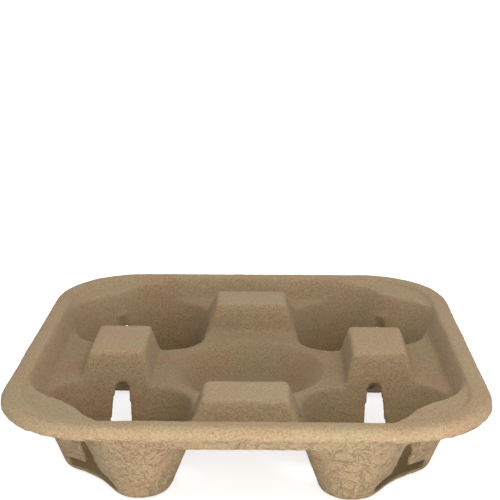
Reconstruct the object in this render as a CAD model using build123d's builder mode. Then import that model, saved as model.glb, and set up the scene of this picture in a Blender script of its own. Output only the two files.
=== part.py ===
"""Moulded-pulp carrier for four cups, one sheet of pulp with four lobed cup pockets."""
import os
from math import cos, radians, sin, sqrt, tan

from build123d import *

# Driving sizes in millimetres, +Z up, z = 0 on the table
tray_side = 215.0        # square outline over the lip
tray_height = 45.0       # table to the crest of the lip
wall = 2.0               # thickness of the pulp
draft = 21.0             # lean of every moulded wall, in degrees

corner_round = 46.0      # outline corners of the lip
lip_drop = 6.0           # how far the lip hangs down from its crest
lip_round = 4.5          # roll of the lip's outer edge
rim_band = 9.0           # crest band, from the outline in to the pocket walls
ledge_depth = 3.0        # corner ledges below the crest
ledge_round = 37.0       # inner corner of the crest band

post_width = 37.0        # post tops, measured along the side they stand at
post_depth = 1.0         # post tops below the crest
valley_depth = 13.0      # floor of the gap between post and rim, below the crest
valley_width = 13.0      # width of that floor
hub_width = 92.6         # between the feet of the left and right posts' inner faces
hub_length = 99.0        # between those of the front and back posts
hub_depth = 16.5         # flat ring of the middle, below the crest
hub_draft = 15.0         # lean of the posts' inner faces, in degrees
hub_ridge = 5.0          # flat between the mouth of the middle bowl and a pocket
bowl_depth = 13.0        # bowl below the flat ring
bowl_wall = 15.0         # run of the bowl's sloping wall
bowl_round = 5.0         # soft edges of the bowl

lobe_round = 11.5        # end of each pocket lobe at the floor
hub_corner = 10.0        # pocket corner towards the middle, at the floor
floor_round = 4.0        # pocket floor into its walls
edge_round = 2.0         # edges of the posts, the middle and the crest band

slot_top = 29.0          # upper end of the slots, above the table
slot_bottom = 5.0        # lower end, above the pocket floors
slot_width = 5.6         # at the upper end
slot_foot = 11.5         # at the lower end
slot_inset = 25.5        # middle of the slots in the posts, from the pocket's inner side

# Heights and places that follow from them
half = tray_side / 2
lip_edge = tray_height - lip_drop
post_top = tray_height - post_depth
hub_ring = tray_height - hub_depth
valley_floor = tray_height - valley_depth
ledge = tray_height - ledge_depth
slope = tan(radians(draft))
pocket_inner = post_width / 2 + (post_top - wall) * slope
pocket_outer = half - rim_band - (tray_height - wall) * slope
skin = wall * (1 / cos(radians(draft)) - slope)
hub_skin = wall * (1 / cos(radians(hub_draft)) - tan(radians(hub_draft)))
lobe_x, lobe_y = pocket_inner + lobe_round, pocket_outer - lobe_round
lobe_to_column = sqrt((half - lobe_x) ** 2 + (half - lobe_y) ** 2)
column_radius = lobe_to_column - lobe_round
ridge_place = sqrt(2) * (pocket_inner + hub_corner) - hub_corner - (hub_ring - wall) * slope
bowl_radius = ridge_place - hub_ridge
slot_place = pocket_inner + slot_inset
column_lean = (slot_top - wall) * slope
column_place = half * sqrt(2) - column_radius + column_lean / 2


def lobed_floor(grow):
    # Floor of one pocket in the corner towards +X +Y: two lobes round the corner column
    near, lobe_r = pocket_inner - grow, lobe_round + grow
    hub_x = pocket_inner + hub_corner
    nook = hub_x - (hub_corner + grow) / sqrt(2)
    reach = lobe_r / lobe_to_column
    touch = (lobe_x + reach * (half - lobe_x), lobe_y + reach * (half - lobe_y))
    bulge = half - (column_radius - grow) / sqrt(2)
    shoulder = (lobe_x - lobe_r * sin(radians(20)), lobe_y + lobe_r * cos(radians(20)))
    with BuildSketch() as floor:
        with BuildLine():
            ThreePointArc((near, hub_x), (nook, nook), (hub_x, near))
            Line((near, hub_x), (near, lobe_y))
            ThreePointArc((near, lobe_y), shoulder, touch)
            ThreePointArc(touch, (bulge, bulge), touch[::-1])
            ThreePointArc(touch[::-1], shoulder[::-1], (lobe_y, near))
            Line((lobe_y, near), (hub_x, near))
        make_face()
    return floor.sketch


def pocket(drop):
    # Room inside one pocket, or with drop = wall the room that its pulp takes up as well
    base = wall - drop
    with BuildPart() as room:
        with BuildSketch(Plane.XY.offset(base)):
            add(lobed_floor(skin * drop / wall))
        extrude(amount=tray_height + 1 - base, taper=-draft)
        fillet(room.edges().group_by(Axis.Z)[0], floor_round + drop / 2)
    return room.part


def valley(drop):
    # Gap between the post on +X and the rim, as long as from one lobe's middle to the next
    rim_wall = pocket_outer + (valley_floor - wall) * slope
    grow = skin * drop / wall
    rise = valley_depth + 1 + drop
    low, high = (rim_wall - valley_width - grow, rim_wall + grow)
    with BuildPart() as gap:
        with BuildSketch(Plane.XZ):
            with BuildLine():
                Polyline((low, valley_floor - drop), (high, valley_floor - drop),
                         (high + rise * slope, valley_floor - drop + rise),
                         (low - rise * slope, valley_floor - drop + rise), close=True)
            make_face()
        extrude(amount=pocket_inner + lobe_round, both=True)
    return gap.part


def corner_ledge(drop):
    # Step inside the crest band at the corner towards +X +Y
    rim_wall = pocket_outer + (ledge - wall) * slope + skin * drop / wall
    near = pocket_inner + lobe_round
    with BuildPart() as step:
        with BuildSketch(Plane.XY.offset(ledge - drop)):
            with BuildLine():
                Polyline((near, near), (rim_wall, near), (rim_wall, rim_wall), (near, rim_wall), close=True)
            corner = make_face()
            outer = corner.vertices().group_by(Axis.X)[-1].sort_by(Axis.Y)[-1]
            fillet(outer, ledge_round + skin * drop / wall)
        extrude(amount=ledge_depth + 1 + drop, taper=-draft)
    return step.part


def hub(drop):
    # Room between the four posts, down to the flat ring, with the bowl in its middle
    grow = 2 * hub_skin * drop / wall
    bowl_base = hub_ring - bowl_depth - drop
    with BuildPart() as room:
        with BuildSketch(Plane.XY.offset(bowl_base)):
            Circle(bowl_radius - bowl_wall + drop / 2)
        with BuildSketch(Plane.XY.offset(hub_ring - drop)):
            Circle(bowl_radius + drop / 2)
        loft()
        fillet(room.edges().group_by(Axis.Z)[0], bowl_round + drop)
        with BuildSketch(Plane.XY.offset(hub_ring - drop)):
            Rectangle(hub_width + grow, hub_length + grow)
        extrude(amount=hub_depth + 1 + drop, taper=-hub_draft)
    return room.part


def above_posts(drop):
    # The post tops stay a little below the crest
    side = 2 * (half - rim_band - valley_width)
    with BuildPart() as room:
        with BuildSketch(Plane.XY.offset(post_top - drop)):
            Rectangle(side, side)
        extrude(amount=post_depth + 1 + drop)
    return room.part


def moulded(drop):
    # Solid below the upper face of the sheet (drop = 0) or below its lower face (drop = wall)
    with BuildPart() as body:
        with BuildSketch():
            RectangleRounded(tray_side - 2 * drop, tray_side - 2 * drop, corner_round - drop)
        extrude(amount=tray_height - drop)
        fillet(body.edges().group_by(Axis.Z)[-1], lip_round - drop)
        if drop:
            with BuildSketch(Plane.XY.offset(-drop)):
                Rectangle(1.2 * tray_side, 1.2 * tray_side)
            extrude(amount=lip_edge + drop)
        add(above_posts(drop), mode=Mode.SUBTRACT)
        add(hub(drop), mode=Mode.SUBTRACT)
        with PolarLocations(0, 4):
            add(corner_ledge(drop), mode=Mode.SUBTRACT)
            add(valley(drop), mode=Mode.SUBTRACT)
            add(pocket(drop), mode=Mode.SUBTRACT)
    return body.part


def between(edges, low, high):
    # Edges whose ends lie at these two heights
    ends = [(edge, sorted((edge @ 0).Z for edge in (edge, edge.reversed()))) for edge in edges]
    return ShapeList(edge for edge, (a, b) in ends if abs(a - low) < 0.01 and abs(b - high) < 0.01)


def slot(plane, reach):
    # Cut through the pulp, wider at its foot, along the plane's axis
    with BuildPart() as cut:
        with BuildSketch(plane):
            with BuildLine():
                Polyline((-slot_foot / 2, slot_bottom), (slot_foot / 2, slot_bottom),
                         (slot_width / 2, slot_top), (-slot_width / 2, slot_top), close=True)
            make_face()
        extrude(amount=reach, both=True)
    return cut.part


with BuildPart() as cup_carrier:
    add(moulded(0))
    ring = cup_carrier.edges().filter_by_position(Axis.Z, hub_ring - 0.01, hub_ring + 0.01)
    mouth = ring.sort_by(SortBy.LENGTH)[-1]
    fillet(mouth, bowl_round)
    ring = between(cup_carrier.edges(), hub_ring, hub_ring)
    corners = ring.filter_by(lambda edge: min(abs(edge.center().X), abs(edge.center().Y)) > hub_width / 5)
    posts = between(cup_carrier.edges(), post_top, post_top)
    uprights = between(cup_carrier.edges(), hub_ring, post_top)
    shoulders = between(cup_carrier.edges(), valley_floor, post_top)
    fillet(corners + posts + uprights + shoulders, edge_round)
    crest = between(cup_carrier.edges(), tray_height, tray_height)
    fillet(crest.sort_by(SortBy.LENGTH)[0:8], edge_round)
    add(moulded(wall), mode=Mode.SUBTRACT)
    with PolarLocations(0, 4):
        add(slot(Plane((slot_place, 0, 0), x_dir=(1, 0, 0), z_dir=(0, -1, 0)), pocket_inner + 1),
            mode=Mode.SUBTRACT)
    with PolarLocations(0, 4, start_angle=45):
        add(slot(Plane((column_place, 0, 0), x_dir=(0, 1, 0), z_dir=(1, 0, 0)), column_lean / 2 + 3 * wall),
            mode=Mode.SUBTRACT)
cup_carrier.part.label = "cup_carrier"

os.makedirs("parts", exist_ok=True)
export_step(cup_carrier.part, "parts/cup_carrier.step")
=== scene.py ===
import math
import bpy
import numpy as np
from mathutils import Euler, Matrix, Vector, noise


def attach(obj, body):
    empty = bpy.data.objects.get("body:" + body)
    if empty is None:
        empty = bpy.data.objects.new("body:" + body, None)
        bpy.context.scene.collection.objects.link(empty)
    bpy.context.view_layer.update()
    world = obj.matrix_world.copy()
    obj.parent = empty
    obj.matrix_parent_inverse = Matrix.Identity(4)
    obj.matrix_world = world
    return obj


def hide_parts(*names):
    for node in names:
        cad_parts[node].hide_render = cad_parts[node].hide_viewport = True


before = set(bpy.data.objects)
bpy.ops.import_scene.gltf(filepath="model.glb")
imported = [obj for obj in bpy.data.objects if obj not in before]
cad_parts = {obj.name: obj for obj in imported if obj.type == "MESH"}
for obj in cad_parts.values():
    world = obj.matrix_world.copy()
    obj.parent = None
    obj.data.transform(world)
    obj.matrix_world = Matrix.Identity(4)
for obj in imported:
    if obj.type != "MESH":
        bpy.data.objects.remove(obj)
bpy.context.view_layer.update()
print("frame loaded")

mm = 0.001                    # one millimetre in metres


def linear(code):
    # sRGB hex to linear light: divide by 12.92 below 0.04045, else ((c + 0.055) / 1.055) to the power 2.4
    channels = [int(code[i:i + 2], 16) / 255 for i in (1, 3, 5)]
    return tuple(c / 12.92 if c <= 0.04045 else ((c + 0.055) / 1.055) ** 2.4 for c in channels) + (1.0,)


def addNode(tree, kind, values=None, stops=(), **settings):
    # One shader node: its settings, its sockets set or linked, and a ramp's (place, sRGB hex) stops
    node = tree.nodes.new(kind)
    for name, value in settings.items():
        setattr(node, name, value)
    for name, value in (values or {}).items():
        if isinstance(value, bpy.types.NodeSocket):
            tree.links.new(value, node.inputs[name])
        else:
            node.inputs[name].default_value = value
    if stops:
        elements = node.color_ramp.elements
        while len(elements) < len(stops):
            elements.new(0.5)
        for element, (place, code) in zip(elements, stops):
            element.position = place
            element.color = linear(code)
    return node


# Moulded pulp
pulp = {
    "body": "#BAA17E",        # mean colour of the dry fibre
    "warm": "#B99A78",        # pinker clouds
    "grey": "#B6A27E",        # greyer clouds
    "fleck": "#7A5F42",       # dark fibres and creases
    "pale": "#D6C3A0",        # light fibres
    "dim": "#9C958C",         # multiplies the colour between the clumps
    "shadeTint": "#B5AE9C",        # painted shade: multiplies the colour lower down inside the pockets
    "speckMm": 0.9,           # size of the fibre clumps
    "strandMm": 1.44,         # size of the light fibres
    "strandTurn": (0.5, 0.9, 0.4),
    "strandStretch": (1.0, 3.4, 1.0),
    "fleckMm": 3.2,           # spacing of the dark fibres
    "cloudMm": 26.0,          # size of the colour clouds
    "creaseMm": 9.0,          # spacing of the creases on the rough outer side
    "bumpMm": 0.22,           # height of the clumps
    "dimShare": 0.45,         # how strongly each layer shows
    "paleShare": 0.45,
    "fleckShare": 0.55,
    "creaseShare": 0.45,
    "roughness": 0.93,
}


def pulpMaterial(name, facts):
    # Dry moulded pulp: clumped short fibres, flecks of darker and paler stock, and slow colour clouds.
    # It is matt, with hardly any shine and a trace of fuzz.
    material = bpy.data.materials.new(name)
    material.use_nodes = True
    tree = material.node_tree
    tree.nodes.clear()
    place = addNode(tree, "ShaderNodeTexCoord").outputs["Object"]
    turned = addNode(tree, "ShaderNodeMapping", {"Vector": place, "Rotation": facts["strandTurn"],
                                                 "Scale": facts["strandStretch"]}).outputs["Vector"]
    clouds = addNode(tree, "ShaderNodeTexNoise", {"Vector": place, "Scale": 1 / (facts["cloudMm"] * mm),
                                                  "Detail": 4.0, "Roughness": 0.6}).outputs["Fac"]
    clumps = addNode(tree, "ShaderNodeTexNoise", {"Vector": place, "Scale": 1 / (facts["speckMm"] * mm),
                                                  "Detail": 6.0, "Roughness": 0.72}).outputs["Fac"]
    strands = addNode(tree, "ShaderNodeTexNoise", {"Vector": turned, "Scale": 1 / (facts["strandMm"] * mm),
                                                   "Detail": 4.0, "Roughness": 0.6,
                                                   "Distortion": 0.8}).outputs["Fac"]
    flecks = addNode(tree, "ShaderNodeTexVoronoi", {"Vector": place, "Scale": 1 / (facts["fleckMm"] * mm),
                                                    "Randomness": 1.0}).outputs["Distance"]
    bent = addNode(tree, "ShaderNodeTexNoise", {"Vector": place, "Scale": 1 / (facts["creaseMm"] * mm),
                                                "Detail": 5.0, "Roughness": 0.7, "Distortion": 1.4}).outputs["Fac"]

    # Creases run where the bent noise crosses its middle value, on the rough outer side only
    near = addNode(tree, "ShaderNodeMath", {0: bent, 1: 0.5}, operation="SUBTRACT").outputs[0]
    line = addNode(tree, "ShaderNodeMath", {0: near}, operation="ABSOLUTE").outputs[0]
    folds = addNode(tree, "ShaderNodeValToRGB", {"Fac": line},
                    [(0.0, "#FFFFFF"), (0.014, "#000000")]).outputs["Color"]
    outer = addNode(tree, "ShaderNodeAttribute", attribute_name="outerSide").outputs["Fac"]
    crease = addNode(tree, "ShaderNodeMath", {0: folds, 1: outer}, operation="MULTIPLY").outputs[0]

    base = addNode(tree, "ShaderNodeValToRGB", {"Fac": clouds},
                   [(0.34, facts["warm"]), (0.5, facts["body"]), (0.66, facts["grey"])]).outputs["Color"]
    dim = addNode(tree, "ShaderNodeValToRGB", {"Fac": clumps},
                  [(0.38, facts["dim"]), (0.55, "#FFFFFF"), (0.75, "#FFFFFF")]).outputs["Color"]
    spots = addNode(tree, "ShaderNodeValToRGB", {"Fac": strands},
                    [(0.56, "#000000"), (0.7, "#FFFFFF")]).outputs["Color"]
    dots = addNode(tree, "ShaderNodeValToRGB", {"Fac": flecks},
                   [(0.05, "#FFFFFF"), (0.16, "#000000")]).outputs["Color"]
    # Painted shade, stronger lower down inside the pockets, read from a mesh attribute and multiplied in below
    shadeAmount = addNode(tree, "ShaderNodeAttribute", attribute_name="paintedShade").outputs["Fac"]
    layers = [
        (1.0, facts["dimShare"], dim, "MULTIPLY"),
        (spots, facts["paleShare"], linear(facts["pale"]), "MIX"),
        (dots, facts["fleckShare"], linear(facts["fleck"]), "MIX"),
        (crease, facts["creaseShare"], linear(facts["fleck"]), "MIX"),
        (shadeAmount, 1.0, linear(facts["shadeTint"]), "MULTIPLY"),
    ]
    for mask, share, colour, blend in layers:
        amount = addNode(tree, "ShaderNodeMath", {0: mask, 1: share}, operation="MULTIPLY").outputs[0]
        base = addNode(tree, "ShaderNodeMix", {0: amount, 6: base, 7: colour},
                       data_type="RGBA", blend_type=blend).outputs[2]

    height = addNode(tree, "ShaderNodeMath", {0: clumps, 1: strands}, operation="ADD").outputs[0]
    height = addNode(tree, "ShaderNodeMath", {0: height, 1: crease}, operation="SUBTRACT").outputs[0]
    bump = addNode(tree, "ShaderNodeBump", {"Height": height, "Strength": 0.9,
                                            "Distance": facts["bumpMm"] * mm}).outputs["Normal"]
    surface = addNode(tree, "ShaderNodeBsdfPrincipled", {"Base Color": base, "Normal": bump,
                                                         "Roughness": facts["roughness"],
                                                         "Specular IOR Level": 0.15,
                                                         "Sheen Weight": 0.08})
    addNode(tree, "ShaderNodeOutputMaterial", {"Surface": surface.outputs["BSDF"]})
    return material


# The sheet
sheet = {
    "cellMm": 1.2,            # mesh cell
    "softenSteps": 2,         # rounds of smoothing, which round the moulded edges
    "waveMm": 0.385,          # slow unevenness of the walls, sideways
    "waveSizeMm": 22.0,
    "grainMm": 0.16,          # lumps left by the drying screen
    "grainSizeMm": 3.2,
    "raggedMm": 0.7,          # torn outline of the lip
    "raggedSizeMm": 4.5,
    "lipMm": 39.0,            # height of the lip's torn edge
    "lipBandMm": 1.6,         # how far above and below it the pulp is torn
    "lipReachMm": 90.0,       # the lip lies farther out than this
    "crestMm": 43.5,          # where the painted pocket shade starts, going down
    "fadeMm": 42.0,           # and how far below that the painted shade is strongest
    "insideMm": 99.5,         # no painted shade farther out than this
    "slitPlaceMm": 100.0,     # torn slits at the feet of the corner columns, from the middle along the diagonal
    "slitLevelMm": 5.8,       # and above the table
    "slitSizeMm": (26.0, 34.0, 4.2),     # inwards, along the wall and upwards
    "tonguePlaceMm": 103.2,   # pulp left hanging in the slots of those columns
    "tongueLevelMm": 26.0,
    "tongueSizeMm": (1.6, 6.0, 10.0),
    "tongueLeanDeg": 12.0,
}


def noiseField(points, size, seed):
    # Smooth noise in -1..1 at each point, features of the given size in metres, moved on by the seed
    return np.array([noise.noise(point) for point in (points / size + seed).tolist()])


def block(turn, centre, size, lean=0.0):
    # Corners of a box with its middle at centre and its sides along a frame turned about Z, leaning outwards
    signs = np.array([(x, y, z) for x in (-1, 1) for y in (-1, 1) for z in (-1, 1)])
    corners = signs * np.array(size) / 2
    corners[:, 0] -= corners[:, 2] * math.tan(lean)
    corners += np.array(centre)
    c, s = math.cos(turn), math.sin(turn)
    return corners @ np.array([(c, s, 0), (-s, c, 0), (0, 0, 1)]) * mm


def cornerBlocks(name, centre, size, lean=0.0):
    # One mesh of four such boxes, one at each corner of the tray
    faces = np.array([(0, 1, 3, 2), (4, 6, 7, 5), (0, 4, 5, 1), (2, 3, 7, 6), (0, 2, 6, 4), (1, 5, 7, 3)])
    turns = [math.radians(45 + 90 * i) for i in range(4)]
    points = np.concatenate([block(turn, centre, size, lean) for turn in turns])
    cells = np.concatenate([faces + 8 * i for i in range(len(turns))])
    mesh = bpy.data.meshes.new(name)
    mesh.from_pydata(points.tolist(), [], cells.tolist())
    piece = bpy.data.objects.new(name, mesh)
    bpy.context.collection.objects.link(piece)
    return piece


def rawSheet(node, facts):
    # Copy of the moulded form with slits torn out and tongues left in, remeshed in even cells and softened
    source = node.evaluated_get(bpy.context.evaluated_depsgraph_get())
    piece = bpy.data.objects.new("pulp_sheet", bpy.data.meshes.new_from_object(source))
    bpy.context.collection.objects.link(piece)
    slits = cornerBlocks("slits", (facts["slitPlaceMm"], 0, facts["slitLevelMm"]), facts["slitSizeMm"])
    tongues = cornerBlocks("tongues", (facts["tonguePlaceMm"], 0, facts["tongueLevelMm"]),
                           facts["tongueSizeMm"], math.radians(facts["tongueLeanDeg"]))
    for tool, action in ((slits, "DIFFERENCE"), (tongues, "UNION")):
        cut = piece.modifiers.new(action, "BOOLEAN")
        cut.operation = action
        cut.object = tool
        cut.solver = "EXACT"
    cells = piece.modifiers.new("cells", "REMESH")
    cells.mode = "VOXEL"
    cells.voxel_size = facts["cellMm"] * mm
    soft = piece.modifiers.new("soft", "SMOOTH")
    soft.factor = 0.5
    soft.iterations = facts["softenSteps"]
    graph = bpy.context.evaluated_depsgraph_get()
    finished = bpy.data.meshes.new_from_object(piece.evaluated_get(graph))
    piece.modifiers.clear()
    piece.data = finished
    bpy.data.objects.remove(slits)
    bpy.data.objects.remove(tongues)
    return piece


def pulpSheet(node, facts):
    # Point = softened point + grain along its normal + slow waves in X and Y + ragged rise at the lip's edge
    piece = rawSheet(node, facts)
    mesh = piece.data
    points, normals = (np.empty((len(mesh.vertices), 3)) for _ in range(2))
    mesh.vertices.foreach_get("co", points.ravel())
    mesh.vertices.foreach_get("normal", normals.ravel())
    waveSize = facts["waveSizeMm"] * mm
    wave = noiseField(points, waveSize, 3.1)
    grain = noiseField(points, facts["grainSizeMm"] * mm, 11.7)
    ragged = noiseField(points, facts["raggedSizeMm"] * mm, 23.5)
    torn = np.clip(1 - np.abs(points[:, 2] - facts["lipMm"] * mm) / (facts["lipBandMm"] * mm), 0, 1)
    torn *= np.abs(points[:, :2]).max(axis=1) > facts["lipReachMm"] * mm
    points = points + normals * (facts["grainMm"] * mm * grain)[:, None]
    points[:, 0] += facts["waveMm"] * mm * wave
    points[:, 1] += facts["waveMm"] * mm * noiseField(points, waveSize, 37.3)
    points[:, 2] += facts["raggedMm"] * mm * ragged * torn

    # The outer side faces down; painted shade grows downwards from the crest on faces that don't, inside the rim
    outer = np.clip(-normals[:, 2] * 5 - 0.2, 0, 1)
    shadeAmount = np.clip((facts["crestMm"] * mm - points[:, 2]) / (facts["fadeMm"] * mm), 0, 1)
    shadeAmount *= np.clip(normals[:, 2] * 4 + 1, 0, 1)
    shadeAmount *= np.abs(points[:, :2]).max(axis=1) < facts["insideMm"] * mm
    for name, values in (("outerSide", outer), ("paintedShade", shadeAmount)):
        mesh.attributes.new(name, "FLOAT", "POINT").data.foreach_set("value", values)
    mesh.vertices.foreach_set("co", points.ravel())
    mesh.update()
    mesh.shade_smooth()
    return piece


tray = pulpSheet(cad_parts["cup_carrier"], sheet)
tray.data.materials.clear()
tray.data.materials.append(pulpMaterial("mouldedPulp", pulp))
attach(tray, "root")
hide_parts("cup_carrier")
print("sheet done", len(tray.data.polygons))

# Floor, light and camera
stageFacts = {
    "cameraMm": (10.2, -508.3, 233.8),
    "pitchDeg": 15.87,
    "yawDeg": 1.09,
    "lensMm": 78.8,
    "lamps": {                # place, width and height in metres, and watts
        "overhead": ((0.14, -0.30, 0.55), 0.35, 0.35, 1.5),
        "lowFill": ((0.04, -0.32, 0.03), 0.5, 0.05, 0.48),
    },
    "lampAim": (0, 0, 0.02),
    "worldStrength": 0.54,
    "floor": "#F4F4F4",
    "floorGlow": 0.75,        # the floor shines this much to the camera alone
    "floorReach": 4.0,
    "floorDrop": 0.0006,      # keeps the floor clear of the feet
}


def paperFloor(facts):
    # Flat pale square that takes the object's shadow
    reach = facts["floorReach"]
    mesh = bpy.data.meshes.new("floor")
    mesh.from_pydata([(-reach, -reach, 0), (reach, -reach, 0), (reach, reach, 0), (-reach, reach, 0)], [],
                     [(0, 1, 2, 3)])
    floor = bpy.data.objects.new("floor", mesh)
    bpy.context.collection.objects.link(floor)
    floor.location.z = -facts["floorDrop"]
    matte = bpy.data.materials.new("paperFloor")
    matte.use_nodes = True
    tree = matte.node_tree
    tree.nodes.clear()
    seen = addNode(tree, "ShaderNodeLightPath").outputs["Is Camera Ray"]
    glow = addNode(tree, "ShaderNodeMath", {0: seen, 1: facts["floorGlow"]}, operation="MULTIPLY").outputs[0]
    surface = addNode(tree, "ShaderNodeBsdfPrincipled", {"Base Color": linear(facts["floor"]), "Roughness": 0.9,
                                                         "Emission Color": (1, 1, 1, 1),
                                                         "Emission Strength": glow})
    addNode(tree, "ShaderNodeOutputMaterial", {"Surface": surface.outputs["BSDF"]})
    mesh.materials.append(matte)


def studio(facts):
    # A surround that is pure white to the camera and dimmer as light, two soft lamps and a camera
    world = bpy.data.worlds.new("surround")
    bpy.context.scene.world = world
    world.use_nodes = True
    tree = world.node_tree
    tree.nodes.clear()
    rays = addNode(tree, "ShaderNodeLightPath").outputs
    seen = addNode(tree, "ShaderNodeMath", {0: rays["Is Camera Ray"], 1: rays["Is Transmission Ray"]},
                   operation="MAXIMUM").outputs[0]
    dim = addNode(tree, "ShaderNodeBackground", {"Color": (1, 1, 1, 1), "Strength": facts["worldStrength"]})
    white = addNode(tree, "ShaderNodeBackground", {"Color": (1, 1, 1, 1), "Strength": 1.0})
    both = addNode(tree, "ShaderNodeMixShader", {0: seen, 1: dim.outputs[0], 2: white.outputs[0]})
    addNode(tree, "ShaderNodeOutputWorld", {"Surface": both.outputs[0]})

    for name, (place, width, height, watts) in facts["lamps"].items():
        light = bpy.data.lights.new(name, "AREA")
        light.shape = "RECTANGLE"
        light.size = width
        light.size_y = height
        light.energy = watts
        lamp = bpy.data.objects.new(name, light)
        lamp.location = place
        lamp.rotation_euler = (Vector(facts["lampAim"]) - Vector(place)).to_track_quat("-Z", "Y").to_euler()
        bpy.context.collection.objects.link(lamp)

    lens = bpy.data.cameras.new("camera")
    lens.lens = facts["lensMm"]
    lens.sensor_width = 36
    lens.clip_start = 0.01
    camera = bpy.data.objects.new("camera", lens)
    camera.location = [value * mm for value in facts["cameraMm"]]
    camera.rotation_euler = Euler((math.radians(90 - facts["pitchDeg"]), 0, math.radians(facts["yawDeg"])))
    bpy.context.collection.objects.link(camera)
    bpy.context.scene.camera = camera
    bpy.context.scene.view_settings.view_transform = "Standard"


paperFloor(stageFacts)
studio(stageFacts)
print("stage done")
